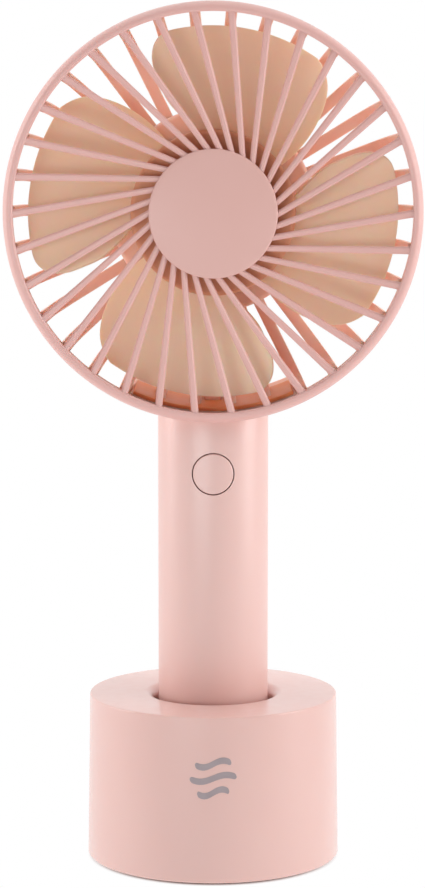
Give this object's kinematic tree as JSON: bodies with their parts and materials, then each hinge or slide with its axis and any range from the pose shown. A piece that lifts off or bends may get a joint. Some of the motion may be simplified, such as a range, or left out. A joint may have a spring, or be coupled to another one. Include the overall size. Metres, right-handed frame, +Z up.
{
  "type": "handheld electric fan",
  "caption": "Cordless handheld fan with a caged rotor and a round handle that stands in the well of a weighted charging dock.",
  "frame": {"origin": "centre of the dock's footprint on the surface it stands on", "axes": "+Z up through the handle, the fan faces and blows towards -Y, +X is on the right of someone who faces it"},
  "size_m": [0.098, 0.0608, 0.205],
  "materials": {
    "shell_pink": "satin moulded plastic",
    "cap_pink": "fine satin moulded plastic",
    "guard_salmon": "satin moulded plastic",
    "blade_tan": "satin moulded plastic",
    "dock_pink": "polished moulded plastic",
    "steel": "plain steel",
    "brass": "gold-plated brass",
    "board_green": "solder mask",
    "black_plastic": "moulded plastic",
    "magnet_grey": "bonded ferrite",
    "cell_can": "shrink-wrapped steel can",
    "silicone": "matt silicone",
    "copper": "varnished windings on steel laminations"
  },
  "bodies": {
    "dock": {"dock_shell": "dock_pink", "dock_base_plate": "dock_pink", "dock_foot_ring": "silicone", "ballast_ring": "steel", "dock_board": "board_green", "dock_inlet": "steel", "dock_screw_1": "steel", "dock_screw_2": "steel", "dock_screw_3": "steel", "pin_barrel_left": "brass", "pin_barrel_right": "brass"},
    "contact_pin_left": {"contact_pin_left": "brass"},
    "contact_pin_right": {"contact_pin_right": "brass"},
    "fan": {"charge_pad_left": "brass", "charge_pad_right": "brass", "handle_front_shell": "shell_pink", "handle_rear_shell": "shell_pink", "handle_end_cap": "shell_pink", "battery_cell": "cell_can", "battery_tab_bottom": "steel", "battery_tab_top": "steel", "control_board": "board_green", "switch_housing": "black_plastic", "neck_screw_left": "steel", "neck_screw_right": "steel", "front_grille": "shell_pink", "centre_cap": "cap_pink", "rear_guard": "guard_salmon", "rear_motor_cover": "guard_salmon", "motor_can": "steel", "motor_magnet": "magnet_grey", "motor_end_bell": "black_plastic", "motor_bush_front": "brass", "motor_bush_rear": "brass", "motor_leads": "black_plastic", "motor_screw_left": "steel", "motor_screw_right": "steel"},
    "rotor": {"fan_rotor": "blade_tan", "motor_shaft": "steel", "shaft_spacer": "brass", "motor_armature": "copper"},
    "button": {"power_button": "shell_pink", "switch_plunger": "black_plastic"}
  },
  "joints": [
    {"name": "fan_lift", "type": "slide", "parent": "dock", "child": "fan", "axis": [0, 0, 1], "range_m": [0, 0.05]},
    {"name": "rotor_spin", "type": "hinge", "parent": "fan", "child": "rotor", "pos_m": [0, 0, 0.156], "axis": [0, -1, 0], "continuous": true},
    {"name": "button_press", "type": "slide", "parent": "fan", "child": "button", "axis": [0, 1, 0], "range_m": [0, 0.0006], "stiffness_N_per_m": 800},
    {"name": "contact_pin_left_press", "type": "slide", "parent": "dock", "child": "contact_pin_left", "axis": [0, 0, 1], "range_m": [-0.0008, 0], "stiffness_N_per_m": 300},
    {"name": "contact_pin_right_press", "type": "slide", "parent": "dock", "child": "contact_pin_right", "axis": [0, 0, 1], "range_m": [-0.0008, 0], "stiffness_N_per_m": 300}
  ]
}
